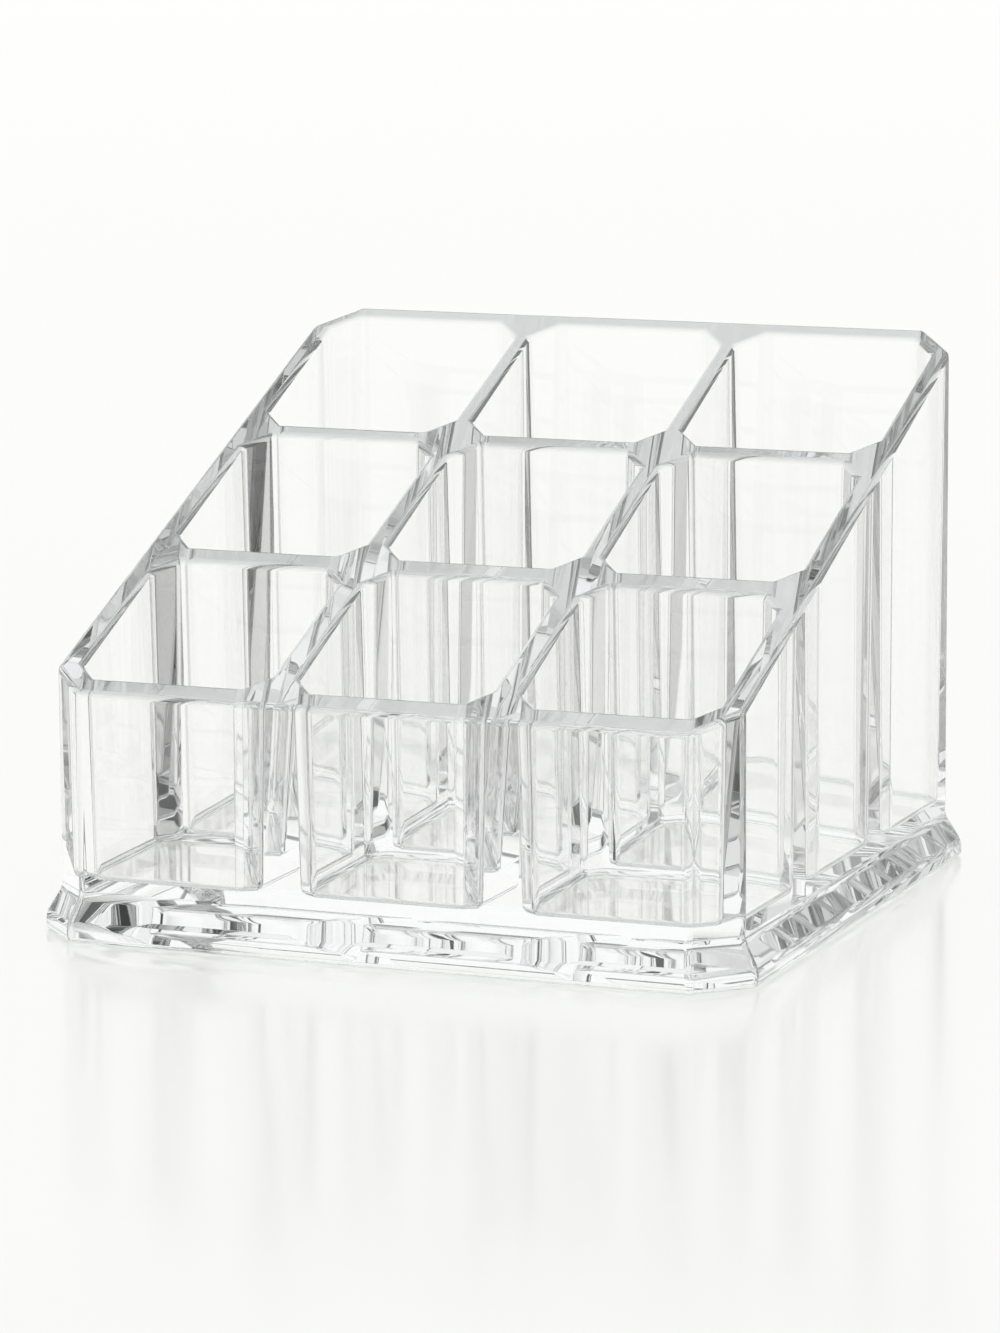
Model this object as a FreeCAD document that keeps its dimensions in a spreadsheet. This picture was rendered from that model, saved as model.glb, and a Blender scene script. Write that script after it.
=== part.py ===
import FreeCAD, Part
import os
import Sketcher

# Clear vanity organizer: nine tapered pockets under a sloping rim, on a flared plinth.
# Millimetres, +Z up, +Y to the back, origin at the centre of the underside.

doc = FreeCAD.newDocument("vanity_organizer")
origin = FreeCAD.Vector(0, 0, 0)
quarter_turn_about_x = FreeCAD.Rotation(FreeCAD.Vector(1, 0, 0), 90)
eighth_turn_about_z = FreeCAD.Rotation(FreeCAD.Vector(0, 0, 1), 45)

# Driving dimensions, lengths in millimetres and angles in degrees
driving_sizes = {
    "body_width": 91.0,
    "body_depth": 91.0,
    "front_height": 31.4,
    "back_height": 69.6,
    "body_chamfer": 5.2,
    "plinth_overhang": 2.0,
    "lip_height": 2.1,
    "flare_height": 3.5,
    "floor_top": 7.1,
    "floor_fillet": 0.9,
    "wall_foot": 4.0,
    "divider_foot": 5.15,
    "pocket_chamfer": 2.3,
    "draft_angle": 1.5,
}
sheet = doc.addObject("Spreadsheet::Sheet", "sizes")
for row, (alias, value) in enumerate(driving_sizes.items(), start=1):
    sheet.set(f"A{row}", alias)
    sheet.set(f"B{row}", str(value))
    sheet.setAlias(f"B{row}", alias)
doc.recompute()


def size(alias):
    return f"sizes.{alias}"


# Sizes worked out from the driving ones, written as expressions
mitre_growth = "(2 - sqrt(2))"
plinth_top = f"({size('lip_height')} + {size('flare_height')})"
seat_top = f"({size('floor_top')} + {size('floor_fillet')})"
rim_slope = f"(({size('back_height')} - {size('front_height')}) / {size('body_depth')})"
span = {"x": size("body_width"), "y": size("body_depth")}
pocket_foot = {}
pitch = {}
for axis in span:
    pocket_foot[axis] = f"(({span[axis]} - 2 * {size('wall_foot')} - 2 * {size('divider_foot')}) / 3)"
    pitch[axis] = f"({pocket_foot[axis]} + {size('divider_foot')})"


def lean(level):
    # How far a drafted face has moved back at a height above the pocket floor
    return f"(tan({size('draft_angle')}) * ({level} - {size('floor_top')}))"


def wall_thickness(level):
    return f"({size('wall_foot')} - {lean(level)})"


def inner_half(axis, level):
    # Half the room between two facing outer walls
    return f"({span[axis]} / 2 - {wall_thickness(level)})"


def divider_half(level):
    return f"({size('divider_foot')} / 2 - {lean(level)})"


def bind(thing, **expressions):
    for name, expression in expressions.items():
        thing.setExpression(name, expression)


# Shapes that several pieces are cut from

def box(name, x0, x1, y0, y1, z0, z1):
    block = doc.addObject("Part::Box", name)
    bind(block, Length=f"{x1} - {x0}", Width=f"{y1} - {y0}", Height=f"{z1} - {z0}")
    block.setExpression("Placement.Base.x", x0)
    block.setExpression("Placement.Base.y", y0)
    block.setExpression("Placement.Base.z", z0)
    return block


def drafted_slab(name, x_range, y_range):
    # An upright slab from the pocket floor's rib tops to the highest rim. The ranges are functions
    # of height, so each side face can stand upright or lean.
    slab = doc.addObject("Part::Wedge", name)
    slab.Placement = FreeCAD.Placement(origin, quarter_turn_about_x)
    low, high = seat_top, size("back_height")
    bind(slab, Ymin=low, Ymax=high)
    bind(slab, Xmin=x_range(low)[0], Xmax=x_range(low)[1])
    bind(slab, X2min=x_range(high)[0], X2max=x_range(high)[1])
    bind(slab, Zmin=f"-({y_range(low)[1]})", Zmax=f"-({y_range(low)[0]})")
    bind(slab, Z2min=f"-({y_range(high)[1]})", Z2max=f"-({y_range(high)[0]})")
    return slab


def cut(name, base, tool):
    result = doc.addObject("Part::Cut", name)
    result.Base = base
    result.Tool = tool
    return result


def common(name, base, tool):
    result = doc.addObject("Part::Common", name)
    result.Base = base
    result.Tool = tool
    return result


def compound(name, members):
    group = doc.addObject("Part::Compound", name)
    group.Links = members
    return group


def chamfered_rectangle(body, name, width, depth, chamfer, level):
    # A rectangle centred on the body's origin, its four corners cut off at 45 degrees
    sketch = body.newObject("Sketcher::SketchObject", name)
    ground = [plane for plane in body.Origin.OriginFeatures if plane.Role == "XY_Plane"][0]
    sketch.AttachmentSupport = (ground, [""])
    sketch.MapMode = "FlatFace"
    sketch.setExpression("AttachmentOffset.Base.z", level)
    corners = [(-3, -5), (3, -5), (5, -3), (5, 3), (3, 5), (-3, 5), (-5, 3), (-5, -3)]
    points = [FreeCAD.Vector(x, y, 0) for x, y in corners]
    for start, end in zip(points, points[1:] + points[:1]):
        sketch.addGeometry(Part.LineSegment(start, end))
    front, right, back, left = 0, 2, 4, 6
    x_axis, y_axis = -1, -2
    start_point, end_point = 1, 2
    for edge in range(len(corners)):
        following = (edge + 1) % len(corners)
        sketch.addConstraint(Sketcher.Constraint("Coincident", edge, end_point, following, start_point))
    mirrored_ends = [
        (front, start_point, front, end_point, y_axis),
        (back, start_point, back, end_point, y_axis),
        (right, start_point, right, end_point, x_axis),
        (left, start_point, left, end_point, x_axis),
        (right, start_point, left, end_point, y_axis),
        (front, end_point, back, start_point, x_axis),
    ]
    for edge, point, other_edge, other_point, mirror in mirrored_ends:
        sketch.addConstraint(Sketcher.Constraint("Symmetric", edge, point, other_edge, other_point, mirror))
    lengths = [
        ("DistanceX", left, start_point, right, start_point, "width", width),
        ("DistanceY", front, start_point, back, start_point, "depth", depth),
        ("DistanceX", front, start_point, front, end_point, "front_edge", f"{width} - 2 * {chamfer}"),
        ("DistanceY", right, start_point, right, end_point, "side_edge", f"{depth} - 2 * {chamfer}"),
    ]
    for kind, edge, point, other_edge, other_point, label, expression in lengths:
        index = sketch.addConstraint(Sketcher.Constraint(kind, edge, point, other_edge, other_point, 10))
        sketch.renameConstraint(index, label)
        sketch.setExpression(f"Constraints.{label}", expression)
    return sketch


def padded_outline(name, outline, low, high):
    # An upright block with a chamfered rectangle for its plan
    body = doc.addObject("PartDesign::Body", name)
    sketch = chamfered_rectangle(body, f"{name}_outline", *outline, low)
    doc.recompute()
    pad = body.newObject("PartDesign::Pad", f"{name}_pad")
    pad.Profile = sketch
    pad.setExpression("Length", f"{high} - {low}")
    doc.recompute()
    return body


def edges_at(shape, level):
    # Names of the edges that lie flat at one height
    reach = Part.Precision.confusion()
    return [f"Edge{number}" for number, edge in enumerate(shape.Edges, start=1)
            if max(abs(edge.BoundBox.ZMin - level), abs(edge.BoundBox.ZMax - level)) < reach]


# The space under the sloping rim, which trims the top of every upright piece
under_rim = doc.addObject("Part::Wedge", "under_rim")
half_width = f"({span['x']} / 2)"
half_depth = f"({span['y']} / 2)"
bind(under_rim, Ymin=f"-{half_depth}", Ymax=half_depth, Zmin="0", Z2min="0")
bind(under_rim, Xmin=f"-{half_width}", X2min=f"-{half_width}", Xmax=half_width, X2max=half_width)
bind(under_rim, Zmax=size("front_height"), Z2max=size("back_height"))

# The outer form of the body above the plinth, with its corners cut off
body_outline = (size("body_width"), size("body_depth"), size("body_chamfer"))
body_blank = padded_outline("body_blank", body_outline, plinth_top, size("back_height"))

# Nine pocket cores: tapered octagons with a rounded lower edge, which leave the pockets open
columns = {"left": -1, "middle": 0, "right": 1}
rows = {"front": -1, "centre": 0, "back": 1}


def frustum(name, half_sizes, rotation):
    # A tapered block centred on the pocket's axis. The half sizes are functions of height.
    block = doc.addObject("Part::Wedge", name)
    block.Placement = FreeCAD.Placement(origin, rotation)
    low, high = size("floor_top"), size("back_height")
    bind(block, Ymin=low, Ymax=high)
    for prefix, level in (("", low), ("2", high)):
        for letter, half in zip("XZ", half_sizes(level)):
            block.setExpression(f"{letter}{prefix}min", f"-{half}")
            block.setExpression(f"{letter}{prefix}max", half)
    return block


def pocket_halves(level):
    return [f"({pocket_foot[axis]} / 2 + {lean(level)})" for axis in ("x", "y")]


def corner_halves(level):
    # The same, measured across the corners to the faces that cut them off
    across, along = pocket_halves(level)
    corner_leg = f"({size('pocket_chamfer')} + {mitre_growth} * {lean(level)})"
    return [f"(({across} + {along} - {corner_leg}) / sqrt(2))"] * 2


def pocket_core(name, column, row):
    sides_block = frustum(f"{name}_sides", pocket_halves, quarter_turn_about_x)
    corners_block = frustum(f"{name}_corners", corner_halves, eighth_turn_about_z * quarter_turn_about_x)
    octagon = common(f"{name}_octagon", sides_block, corners_block)
    core = doc.addObject("PartDesign::Body", name)
    core.BaseFeature = octagon
    doc.recompute()
    sharp = core.Tip
    rounding = core.newObject("PartDesign::Fillet", f"{name}_rounding")
    rounding.Base = (sharp, edges_at(sharp.Shape, sheet.floor_top))
    rounding.setExpression("Radius", size("floor_fillet"))
    core.setExpression("Placement.Base.x", f"{column} * {pitch['x']}")
    core.setExpression("Placement.Base.y", f"{row} * {pitch['y']}")
    return core


cores = {}
for row_name, row in rows.items():
    for column_name, column in columns.items():
        cores[column, row] = pocket_core(f"core_{row_name}_{column_name}", column, row)
all_cores = compound("all_cores", list(cores.values()))

# Base plinth: an upright lip, then a flare up to the body's outline
pieces = []


def keep(piece, label):
    piece.Label = label
    pieces.append(piece)


plinth_outline = (
    f"({span['x']} + 2 * {size('plinth_overhang')})",
    f"({span['y']} + 2 * {size('plinth_overhang')})",
    f"({size('body_chamfer')} + {mitre_growth} * {size('plinth_overhang')})",
)
plinth = padded_outline("plinth", plinth_outline, "0", plinth_top)
block = plinth.Tip
flare = plinth.newObject("PartDesign::Chamfer", "flare")
flare.Base = (block, edges_at(block.Shape, block.Shape.BoundBox.ZMax))
flare.ChamferType = "Two distances"
flare.setExpression("Size", size("flare_height"))
flare.setExpression("Size2", size("plinth_overhang"))
doc.recompute()
keep(plinth, "base_plinth")

# Pocket floor: a plate with a rounded dish under each pocket and flat ribs between the dishes
plate_space = box("plate_space", f"-{half_width}", half_width, f"-{half_depth}", half_depth,
                  plinth_top, seat_top)
plate = common("plate", body_blank, plate_space)
keep(cut("dished_plate", plate, all_cores), "pocket_floor")

# Corner posts: the outer corner, cut off at 45 degrees inside and outside
body_form = common("body_form", body_blank, under_rim)
post_reach = f"({size('wall_foot')} + {size('pocket_chamfer')})"
sides = {"x": {"left": -1, "right": 1}, "y": {"front": -1, "back": 1}}


def edge_range(axis, sign, reach):
    # The strip of the given reach inside one outer face
    outer = f"{span[axis]} / 2"
    if sign < 0:
        return f"-({outer})", f"-({outer} - {reach})"
    return f"({outer} - {reach})", f"({outer})"


for y_name, y_sign in sides["y"].items():
    for x_name, x_sign in sides["x"].items():
        space = box(f"post_space_{y_name}_{x_name}", *edge_range("x", x_sign, post_reach),
                    *edge_range("y", y_sign, post_reach), seat_top, size("back_height"))
        blank = common(f"post_blank_{y_name}_{x_name}", body_form, space)
        post = cut(f"post_{y_name}_{x_name}", blank, cores[x_sign, y_sign])
        keep(post, f"corner_post_{y_name}_{x_name}")

# Outer walls: upright outside, drafted inside, between two corner posts
other_axis = {"x": "y", "y": "x"}
walls = {}


def plain_range(axis):
    # A wall's length, the same at every height
    reach = f"({span[axis]} / 2 - {post_reach})"
    return lambda level: (f"-{reach}", reach)


def wall_range(axis, sign):
    return lambda level: edge_range(axis, sign, wall_thickness(level))


for axis in ("y", "x"):
    for side_name, sign in sides[axis].items():
        ranges = {axis: wall_range(axis, sign), other_axis[axis]: plain_range(other_axis[axis])}
        slab = drafted_slab(f"{side_name}_slab", ranges["x"], ranges["y"])
        walls[side_name] = common(f"{side_name}_panel", slab, under_rim)
        keep(walls[side_name], f"{side_name}_wall")

# Dividers: drafted on both faces, thinner at the rim, from wall to wall


def divider_range(axis, sign):
    centre = f"{sign} * {pitch[axis]} / 2"
    return lambda level: (f"({centre} - {divider_half(level)})", f"({centre} + {divider_half(level)})")


def inner_range(axis):
    return lambda level: (f"-{inner_half(axis, level)}", inner_half(axis, level))


long_slabs = {}
for side_name, sign in sides["x"].items():
    slab = drafted_slab(f"long_slab_{side_name}", divider_range("x", sign), inner_range("y"))
    long_slabs[side_name] = common(f"long_sheet_{side_name}", slab, under_rim)
cross_slabs = {}
for side_name, sign in sides["y"].items():
    slab = drafted_slab(f"cross_slab_{side_name}", inner_range("x"), divider_range("y", sign))
    cross_slabs[side_name] = common(f"cross_sheet_{side_name}", slab, under_rim)

# Half-lap joints: long dividers are slotted from the top, cross dividers from below,
# and the two slots at a crossing meet at half the height there
both_long_sheets = compound("both_long_sheets", list(long_slabs.values()))
upper_laps = []
for side_name, sign in sides["y"].items():
    rim_here = f"({size('front_height')} + {rim_slope} * ({half_depth} + {sign} * {pitch['y']} / 2))"
    lap_level = f"(({seat_top} + {rim_here}) / 2)"
    lower_space = box(f"lap_space_{side_name}", f"-{half_width}", half_width,
                      f"-{half_depth}", half_depth, seat_top, lap_level)
    upper_laps.append(cut(f"upper_lap_{side_name}", cross_slabs[side_name], lower_space))
    lower_lap = common(f"lower_lap_{side_name}", both_long_sheets, lower_space)
    keep(cut(f"cross_{side_name}", cross_slabs[side_name], lower_lap), f"cross_divider_{side_name}")
both_upper_laps = compound("both_upper_laps", upper_laps)
for side_name in sides["x"]:
    keep(cut(f"long_{side_name}", long_slabs[side_name], both_upper_laps), f"long_divider_{side_name}")

# Gussets: strips that fill the corners where panels meet, so that every pocket is an octagon
panels = compound("panels", list(walls.values()) + list(long_slabs.values()) + list(cross_slabs.values()))
gusset_reach = f"({size('divider_foot')} + {size('pocket_chamfer')})"


def around_divider(axis, sign):
    centre = f"{sign} * {pitch[axis]} / 2"
    return f"({centre} - {gusset_reach})", f"({centre} + {gusset_reach})"


def gussets(name, x_range, y_range):
    space = box(f"{name}_space", *x_range, *y_range, seat_top, size("back_height"))
    column = common(f"{name}_column", space, under_rim)
    corners = cut(f"{name}_corners", column, all_cores)
    return cut(f"{name}_strips", corners, panels)


for y_name, y_sign in sides["y"].items():
    for x_name, x_sign in sides["x"].items():
        strips = gussets(f"crossing_{y_name}_{x_name}",
                         around_divider("x", x_sign), around_divider("y", y_sign))
        keep(strips, f"crossing_gussets_{y_name}_{x_name}")

wall_reach = f"({size('wall_foot')} + {gusset_reach})"
for wall_axis in ("y", "x"):
    run = other_axis[wall_axis]
    for wall_name, wall_sign in sides[wall_axis].items():
        for divider_name, divider_sign in sides[run].items():
            ranges = {wall_axis: edge_range(wall_axis, wall_sign, wall_reach),
                      run: around_divider(run, divider_sign)}
            strips = gussets(f"{wall_name}_{divider_name}", ranges["x"], ranges["y"])
            keep(strips, f"{wall_name}_wall_gussets_{divider_name}")

# Check every object, then write one file for each piece
doc.recompute()
for thing in doc.Objects:
    if "Invalid" in thing.State or "Error" in thing.State:
        raise RuntimeError(f"{thing.Name} failed: {thing.State}")
for piece in pieces:
    if piece.Shape.isNull() or not piece.Shape.isValid() or not piece.Shape.Solids:
        raise RuntimeError(f"{piece.Label} has no valid solid")

os.makedirs("parts", exist_ok=True)
for piece in pieces:
    piece.Shape.exportStep(os.path.join("parts", f"{piece.Label}.step"))
    box_size = piece.Shape.BoundBox
    print(f"{piece.Label}: {len(piece.Shape.Solids)} solids, {piece.Shape.Volume:.1f} mm3, "
          f"{box_size.XLength:.2f} x {box_size.YLength:.2f} x {box_size.ZLength:.2f} mm")
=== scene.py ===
import math
import bpy
from mathutils import Matrix, Vector


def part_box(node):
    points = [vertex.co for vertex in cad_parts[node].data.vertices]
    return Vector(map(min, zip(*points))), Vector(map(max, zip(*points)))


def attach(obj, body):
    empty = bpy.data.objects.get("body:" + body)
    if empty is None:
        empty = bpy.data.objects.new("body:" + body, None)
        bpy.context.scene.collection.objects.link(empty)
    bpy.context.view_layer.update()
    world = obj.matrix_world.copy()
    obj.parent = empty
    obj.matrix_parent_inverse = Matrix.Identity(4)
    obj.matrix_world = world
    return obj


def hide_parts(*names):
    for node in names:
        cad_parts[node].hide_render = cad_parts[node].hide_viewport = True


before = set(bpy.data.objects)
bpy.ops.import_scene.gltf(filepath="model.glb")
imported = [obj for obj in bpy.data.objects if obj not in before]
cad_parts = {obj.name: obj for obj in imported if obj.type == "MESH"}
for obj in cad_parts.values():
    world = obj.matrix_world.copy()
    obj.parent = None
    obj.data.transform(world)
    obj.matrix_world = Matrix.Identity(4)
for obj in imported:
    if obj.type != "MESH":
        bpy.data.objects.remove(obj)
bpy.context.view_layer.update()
scene = bpy.context.scene
scene.view_settings.view_transform = "Standard"
clearTurns = 48                             # a line of sight crosses many clear walls
scene.cycles.max_bounces = clearTurns
scene.cycles.transmission_bounces = clearTurns
scene.cycles.glossy_bounces = clearTurns
scene.cycles.blur_glossy = 0.0              # light under the clear base keeps its strength
millimetre = 0.001
print("frame loaded:", len(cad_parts), "nodes")


# sRGB hex to the linear colour that a socket takes
def hexColour(code):
    channels = [int(code[place:place + 2], 16) / 255 for place in (1, 3, 5)]
    linear = [c / 12.92 if c <= 0.04045 else ((c + 0.055) / 1.055) ** 2.4 for c in channels]
    return (*linear, 1.0)


# adds a node, sets its inputs and properties, and links what is given as a socket
def addNode(tree, kind, inputs=None, **settings):
    node = tree.nodes.new(kind)
    for name, value in settings.items():
        setattr(node, name, value)
    for name, value in (inputs or {}).items():
        if isinstance(value, bpy.types.NodeSocket):
            tree.links.new(value, node.inputs[name])
        else:
            node.inputs[name].default_value = value
    return node


def emptyMaterial(name):
    material = bpy.data.materials.new(name)
    material.use_nodes = True
    material.node_tree.nodes.clear()
    return material


# Clear styrene, injection moulded and polished by the mould: colourless, hard gloss, bright where a
# flat wall is looked through, grey to dark along edges and down the length of a panel.
clearStyrene = {
    "tint": "#FFFFFF",
    "ior": 1.5,
    "roughness": 0.0,
    "depthTint": "#F2F5F5",
    "depthDensity": 2.0,
    "rippleWidth": 14.0,      # mm, slow waves left by the melt
    "rippleHeight": 0.001,    # mm
}


def makeClearStyrene(look):
    material = emptyMaterial("clear_moulded_styrene")
    tree = material.node_tree
    place = addNode(tree, "ShaderNodeTexCoord")
    ripple = addNode(tree, "ShaderNodeTexNoise", {
        "Vector": place.outputs["Object"],
        "Scale": 1 / (look["rippleWidth"] * millimetre),
        "Detail": 1.0,
    })
    wave = addNode(tree, "ShaderNodeBump", {
        "Strength": 1.0,
        "Distance": look["rippleHeight"] * millimetre,
        "Height": ripple.outputs["Fac"],
    })
    surface = addNode(tree, "ShaderNodeBsdfPrincipled", {
        "Base Color": hexColour(look["tint"]),
        "Roughness": look["roughness"],
        "IOR": look["ior"],
        "Transmission Weight": 1.0,
        "Normal": wave.outputs["Normal"],
    })
    depth = addNode(tree, "ShaderNodeVolumeAbsorption", {
        "Color": hexColour(look["depthTint"]),
        "Density": look["depthDensity"],
    })
    addNode(tree, "ShaderNodeOutputMaterial", {
        "Surface": surface.outputs["BSDF"],
        "Volume": depth.outputs["Volume"],
    })
    return material


# edit mode helpers
def startEdit(piece):
    bpy.context.view_layer.objects.active = piece
    piece.select_set(True)
    bpy.ops.object.mode_set(mode="EDIT")
    bpy.ops.mesh.select_all(action="DESELECT")


def endEdit():
    bpy.ops.object.mode_set(mode="OBJECT")


# selects the faces or edges of the edited mesh whose middle passes a test
def selectWhere(piece, kind, test):
    bpy.ops.object.mode_set(mode="OBJECT")
    mesh = piece.data
    for group in (mesh.vertices, mesh.edges, mesh.polygons):
        group.foreach_set("select", [False] * len(group))
    if kind == "FACE":
        chosen = [face for face in mesh.polygons if test(face.center, face.normal)]
    else:
        chosen = []
        for edge in mesh.edges:
            ends = [mesh.vertices[index].co for index in edge.vertices]
            if test((ends[0] + ends[1]) / 2, (ends[1] - ends[0]).normalized()):
                chosen.append(edge)
    for item in chosen:
        item.select = True
        for index in item.vertices:
            mesh.vertices[index].select = True
    bpy.context.tool_settings.mesh_select_mode = (False, kind == "EDGE", kind == "FACE")
    bpy.ops.object.mode_set(mode="EDIT")


def applyModifier(piece, kind, name, **settings):
    modifier = piece.modifiers.new(name, kind)
    for key, value in settings.items():
        setattr(modifier, key, value)
    bpy.context.view_layer.objects.active = piece
    bpy.ops.object.modifier_apply(modifier=name)


# The moulding: lip, flare, body with cut-off corners and a sloping rim, nine pockets
plinthLow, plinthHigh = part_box("base_plinth")
floorLow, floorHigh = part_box("pocket_floor")
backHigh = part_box("back_wall")[1]
moulding = {
    "lipHeight": 2.1 * millimetre,
    "bodyChamfer": 5.2 * millimetre,
    "frontHeight": 31.4 * millimetre,
    "floorFillet": 0.9 * millimetre,
    "wallFoot": 4.0 * millimetre,
    "dividerFoot": 5.15 * millimetre,
    "pocketChamfer": 2.3 * millimetre,
    "draft": math.radians(1.5),
    "edgeRound": 0.7 * millimetre,
    "filletSteps": 6,
    "roundSteps": 4,
    "mergeAngle": math.radians(0.1),    # faces flatter than this are one face
    "roundAngle": math.radians(25),     # edges sharper than this are rounded
    "smoothAngle": math.radians(35),
}
bodyWidth = floorHigh.x - floorLow.x
bodyDepth = floorHigh.y - floorLow.y
plinthWidth = plinthHigh.x - plinthLow.x
plinthDepth = plinthHigh.y - plinthLow.y
overhang = (plinthWidth - bodyWidth) / 2
mitreGrowth = 2 - math.sqrt(2)    # a cut corner's leg grows by this share of an offset
backHeight = backHigh.z
rimSlope = (backHeight - moulding["frontHeight"]) / bodyDepth
tiny = 0.01 * millimetre
pointsUp = 0.9                    # a direction whose z is past this points up


def makeBlock(size):
    bpy.ops.object.select_all(action="DESELECT")
    lip = size["lipHeight"]
    bpy.ops.mesh.primitive_cube_add(size=1, location=(0, 0, lip / 2))
    block = bpy.context.object
    block.name = "clear_organizer"
    block.scale = (plinthWidth, plinthDepth, lip)
    bpy.ops.object.transform_apply(location=True, rotation=True, scale=True)
    startEdit(block)
    selectWhere(block, "EDGE", lambda middle, along: abs(along.z) > pointsUp)
    bpy.ops.mesh.bevel(offset=size["bodyChamfer"] + mitreGrowth * overhang, segments=1, affect="EDGES")
    selectWhere(block, "FACE", lambda middle, normal: normal.z > pointsUp)
    bpy.ops.mesh.inset(thickness=overhang)
    bpy.ops.transform.translate(value=(0, 0, plinthHigh.z - lip))
    wallRise = backHeight - plinthHigh.z
    bpy.ops.mesh.extrude_region_move(TRANSFORM_OT_translate={"value": (0, 0, wallRise)})
    endEdit()
    for corner in block.data.vertices:
        if corner.co.z > plinthHigh.z + tiny:    # the top corners, set down onto the sloping rim
            corner.co.z = size["frontHeight"] + rimSlope * (corner.co.y + bodyDepth / 2)
    return block


def makePocketCutter(size):
    bpy.ops.object.select_all(action="DESELECT")
    pocketFoot = (bodyWidth - 2 * size["wallFoot"] - 2 * size["dividerFoot"]) / 3
    floorTop = floorHigh.z - size["floorFillet"]
    top = backHeight + overhang
    lean = math.tan(size["draft"]) * (top - floorTop)
    bpy.ops.mesh.primitive_plane_add(size=pocketFoot + 2 * lean, location=(0, 0, top))
    cutter = bpy.context.object
    cutter.name = "pocket_cutter"
    bpy.ops.object.transform_apply(location=True, rotation=True, scale=True)
    startEdit(cutter)
    bpy.ops.mesh.select_all(action="SELECT")
    bpy.ops.mesh.bevel(offset=size["pocketChamfer"] + mitreGrowth * lean, segments=1, affect="VERTICES")
    bpy.ops.mesh.select_all(action="SELECT")
    bpy.ops.mesh.inset(thickness=lean)
    bpy.ops.transform.translate(value=(0, 0, floorTop - top))
    selectWhere(cutter, "EDGE", lambda middle, along: middle.z > top - tiny)
    bpy.ops.mesh.edge_face_add()
    bpy.ops.mesh.select_all(action="SELECT")
    bpy.ops.mesh.normals_make_consistent(inside=False)
    selectWhere(cutter, "EDGE", lambda middle, along: middle.z < floorTop + tiny)
    bpy.ops.mesh.bevel(offset=size["floorFillet"], segments=size["filletSteps"], affect="EDGES")
    endEdit()
    pitch = pocketFoot + size["dividerFoot"]
    copies = []
    for row in (-1, 0, 1):
        for column in (-1, 0, 1):
            if row or column:
                bpy.ops.object.select_all(action="DESELECT")
                cutter.select_set(True)
                bpy.context.view_layer.objects.active = cutter
                bpy.ops.object.duplicate()
                copy = bpy.context.object
                copy.location = (column * pitch, row * pitch, 0)
                copies.append(copy)
    bpy.ops.object.select_all(action="DESELECT")
    for piece in (*copies, cutter):
        piece.select_set(True)
    bpy.context.view_layer.objects.active = cutter
    bpy.ops.object.join()
    return cutter


def makeMoulding(size):
    block = makeBlock(size)
    cutter = makePocketCutter(size)
    applyModifier(block, "BOOLEAN", "pockets", object=cutter, operation="DIFFERENCE", solver="EXACT")
    bpy.data.objects.remove(cutter)
    startEdit(block)
    bpy.ops.mesh.select_all(action="SELECT")
    bpy.ops.mesh.remove_doubles(threshold=tiny / 10)
    bpy.ops.mesh.dissolve_limited(angle_limit=size["mergeAngle"])
    bpy.ops.mesh.normals_make_consistent(inside=False)
    endEdit()
    applyModifier(block, "BEVEL", "edge_round", width=size["edgeRound"], segments=size["roundSteps"],
                  limit_method="ANGLE", angle_limit=size["roundAngle"], miter_outer="MITER_SHARP")
    bpy.ops.object.select_all(action="DESELECT")
    block.select_set(True)
    bpy.context.view_layer.objects.active = block
    bpy.ops.object.shade_smooth_by_angle(angle=size["smoothAngle"])
    applyModifier(block, "WEIGHTED_NORMAL", "flat_faces", mode="FACE_AREA", weight=100, keep_sharp=True)
    return block


organizer = makeMoulding(moulding)
organizer.data.materials.clear()
organizer.data.materials.append(makeClearStyrene(clearStyrene))
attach(organizer, "root")
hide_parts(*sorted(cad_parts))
print("moulding:", len(organizer.data.vertices), "vertices,", len(organizer.data.polygons), "faces")


# Painted shade: for a sight line that turns inside a clear panel, each inner reflection after the first few
# darkens the table's colour and dims the room as seen, down to a least share. A ray that has met a matt
# surface keeps its full strength.
def firstSight(tree, path):
    return addNode(tree, "ShaderNodeMath", {
        0: path.outputs["Diffuse Depth"],
        1: 0.5,
    }, operation="LESS_THAN")


def paintedTurnShade(tree, path, keep, freeTurns, least):
    turns = addNode(tree, "ShaderNodeMath", {
        0: path.outputs["Glossy Depth"],
        1: firstSight(tree, path).outputs["Value"],
    }, operation="MULTIPLY")
    counted = addNode(tree, "ShaderNodeMath", {
        0: turns.outputs["Value"],
        1: freeTurns,
    }, operation="SUBTRACT")
    lossy = addNode(tree, "ShaderNodeMath", {0: counted.outputs["Value"], 1: 0.0}, operation="MAXIMUM")
    kept = addNode(tree, "ShaderNodeMath", {0: keep, 1: lossy.outputs["Value"]}, operation="POWER")
    return addNode(tree, "ShaderNodeMath", {0: kept.outputs["Value"], 1: least}, operation="MAXIMUM")


# White satin table, painted whiter at a glancing look (a painted reflection) and painted grey seen steeply
# (a painted shade): its own gloss carries a faint reflection, and the contact shadow under the clear base is
# partly painted darkening
table = {
    "glancing": "#F9FAF7",
    "steep": "#D6D8D8",
    "steepFacing": 0.30,
    "glancingFacing": 0.75,
    "roughness": 0.15,
    "reach": 6.0,
    "tableKeep": 0.79,
    "tableFree": 2.0,
    "tableLeast": 0.12,
}


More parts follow.
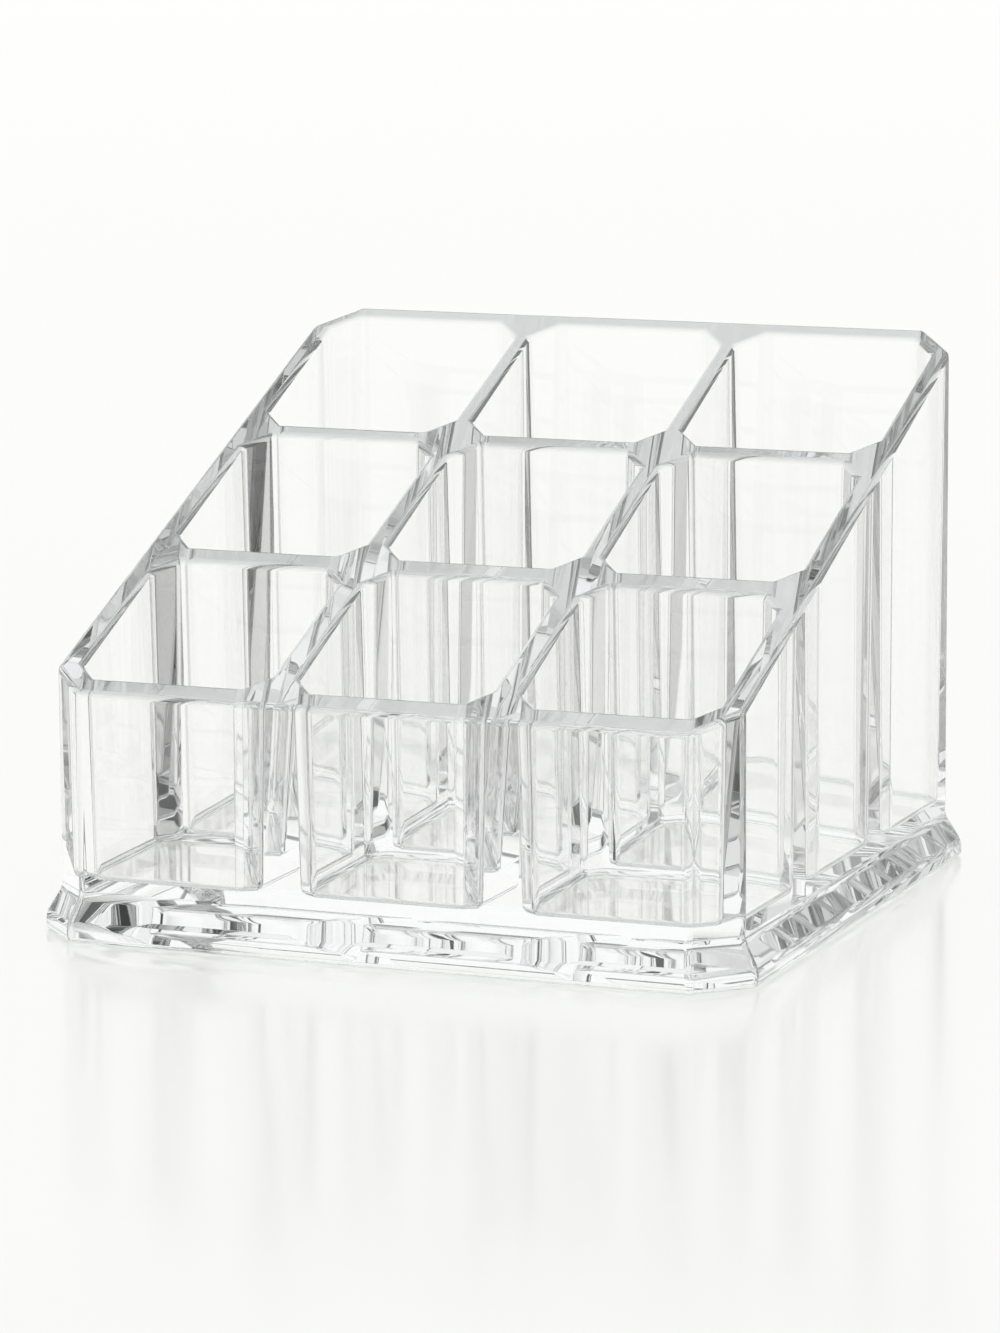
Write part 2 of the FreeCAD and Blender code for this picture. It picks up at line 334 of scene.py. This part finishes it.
def makeTable(look):
    bpy.ops.object.select_all(action="DESELECT")
    bpy.ops.mesh.primitive_plane_add(size=2 * look["reach"], location=(0, 0, -tiny))
    floor = bpy.context.object
    floor.name = "table"
    material = emptyMaterial("satin_table_painted_sheen_and_shade")
    tree = material.node_tree
    path = addNode(tree, "ShaderNodeLightPath")
    # painted reflection and painted shade: the colour goes from a painted grey seen steeply to a whiter
    # colour seen at a glance
    facing = addNode(tree, "ShaderNodeLayerWeight", {"Blend": 0.5})
    glance = addNode(tree, "ShaderNodeMapRange", {
        "Value": facing.outputs["Facing"],
        "From Min": look["steepFacing"],
        "From Max": look["glancingFacing"],
    }, interpolation_type="SMOOTHSTEP")
    paintedSheenAndShade = addNode(tree, "ShaderNodeMixRGB", {
        "Fac": glance.outputs["Result"],
        "Color1": hexColour(look["steep"]),
        "Color2": hexColour(look["glancing"]),
    })
    # painted shade: the table's colour is darkened towards black for sight lines that turned several times
    # inside the plastic
    fade = paintedTurnShade(tree, path, look["tableKeep"], look["tableFree"], look["tableLeast"])
    colour = addNode(tree, "ShaderNodeMixRGB", {
        "Fac": fade.outputs["Value"],
        "Color1": hexColour("#000000"),
        "Color2": paintedSheenAndShade.outputs["Color"],
    })
    surface = addNode(tree, "ShaderNodeBsdfPrincipled", {
        "Base Color": colour.outputs["Color"],
        "Roughness": look["roughness"],
    })
    addNode(tree, "ShaderNodeOutputMaterial", {"Surface": surface.outputs["BSDF"]})
    floor.data.materials.append(material)
    return floor


makeTable(table)
print("table laid")


# Studio: an even white light on the table, a white backdrop and a pale grey ceiling. The dark room sides,
# far round to the left and right, are met only by light that has turned twice inside the plastic, and
# draw the dark lines along its edges.
studio = {
    "light": 1.0,
    "low": "#FFFFFF",
    "high": "#F0F2F2",
    "bandTop": 0.30,
    "bandSoft": 0.45,
    "side": "#282A2C",
    "sideFrom": 0.72,
    "sideTo": 0.90,
    "sideTurns": 1.5,
    "backdropYaw": math.radians(22),
    "roomKeep": 0.92,
    "roomFree": 4.0,
    "roomLeast": 0.25,
}


def makeStudio(look):
    world = bpy.data.worlds.new("pale_studio")
    scene.world = world
    world.use_nodes = True
    tree = world.node_tree
    tree.nodes.clear()
    place = addNode(tree, "ShaderNodeTexCoord")
    split = addNode(tree, "ShaderNodeSeparateXYZ", {"Vector": place.outputs["Generated"]})
    height = addNode(tree, "ShaderNodeMapRange", {
        "Value": split.outputs["Z"],
        "From Min": look["bandTop"],
        "From Max": look["bandTop"] + look["bandSoft"],
    }, interpolation_type="SMOOTHSTEP")
    room = addNode(tree, "ShaderNodeMixRGB", {
        "Fac": height.outputs["Result"],
        "Color1": hexColour(look["low"]),
        "Color2": hexColour(look["high"]),
    })
    across = addNode(tree, "ShaderNodeVectorMath", {
        0: place.outputs["Generated"],
        1: (math.cos(look["backdropYaw"]), math.sin(look["backdropYaw"]), 0),
    }, operation="DOT_PRODUCT")
    aside = addNode(tree, "ShaderNodeMath", {0: across.outputs["Value"]}, operation="ABSOLUTE")
    sideways = addNode(tree, "ShaderNodeMapRange", {
        "Value": aside.outputs["Value"],
        "From Min": look["sideFrom"],
        "From Max": look["sideTo"],
    }, interpolation_type="SMOOTHSTEP")
    path = addNode(tree, "ShaderNodeLightPath")
    turned = addNode(tree, "ShaderNodeMath", {
        0: path.outputs["Glossy Depth"],
        1: look["sideTurns"],
    }, operation="GREATER_THAN")
    dark = addNode(tree, "ShaderNodeMath", {
        0: sideways.outputs["Result"],
        1: turned.outputs["Value"],
    }, operation="MULTIPLY")
    around = addNode(tree, "ShaderNodeMixRGB", {
        "Fac": dark.outputs["Value"],
        "Color1": room.outputs["Color"],
        "Color2": hexColour(look["side"]),
    })
    # painted shade: the room seen through the plastic is dimmed after several inner turns
    fade = paintedTurnShade(tree, path, look["roomKeep"], look["roomFree"], look["roomLeast"])
    seen = addNode(tree, "ShaderNodeBackground", {
        "Color": around.outputs["Color"],
        "Strength": fade.outputs["Value"],
    })
    lit = addNode(tree, "ShaderNodeBackground", {"Color": hexColour(look["low"]), "Strength": look["light"]})
    clear = addNode(tree, "ShaderNodeMath", {
        0: path.outputs["Is Camera Ray"],
        1: path.outputs["Is Glossy Ray"],
    }, operation="MAXIMUM")
    through = addNode(tree, "ShaderNodeMath", {
        0: clear.outputs["Value"],
        1: path.outputs["Is Transmission Ray"],
    }, operation="MAXIMUM")
    view = addNode(tree, "ShaderNodeMath", {
        0: through.outputs["Value"],
        1: firstSight(tree, path).outputs["Value"],
    }, operation="MULTIPLY")
    choice = addNode(tree, "ShaderNodeMixShader", {
        0: view.outputs["Value"],
        1: lit.outputs["Background"],
        2: seen.outputs["Background"],
    })
    addNode(tree, "ShaderNodeOutputWorld", {"Surface": choice.outputs["Shader"]})


makeStudio(studio)
print("studio lit")


# Camera from the photograph's perspective, found by fitting the rim and plinth lines
cameraFit = {
    "yaw": math.radians(21.94),
    "pitch": math.radians(10.08),
    "roll": math.radians(-0.34),
    "focalPixels": 5696.11,
    "imageWidth": 1000,
    "sensorWidth": 36.0,
    "distance": 732.41 * millimetre,
    "farthest": 100.0,
    "aside": 1.93 * millimetre,
    "above": -0.23 * millimetre,
    "target": Vector((0, 0, 29.25 * millimetre)),
}


def makeCamera(fit):
    yaw, pitch, roll = fit["yaw"], fit["pitch"], fit["roll"]
    forward = Vector((-math.sin(yaw) * math.cos(pitch), math.cos(yaw) * math.cos(pitch), -math.sin(pitch)))
    level = Vector((math.cos(yaw), math.sin(yaw), 0))
    upright = level.cross(forward)
    right = level * math.cos(roll) + upright * math.sin(roll)
    up = upright * math.cos(roll) - level * math.sin(roll)
    spot = fit["target"] - right * fit["aside"] - up * fit["above"] - forward * fit["distance"]
    data = bpy.data.cameras.new("photo_camera")
    data.sensor_fit = "HORIZONTAL"
    data.sensor_width = fit["sensorWidth"]
    data.lens = fit["focalPixels"] / fit["imageWidth"] * fit["sensorWidth"]
    data.clip_end = fit["farthest"]
    camera = bpy.data.objects.new("photo_camera", data)
    scene.collection.objects.link(camera)
    turn = Matrix((right, up, -forward)).transposed()
    camera.matrix_world = Matrix.Translation(spot) @ turn.to_4x4()
    scene.camera = camera


makeCamera(cameraFit)
print("camera set")
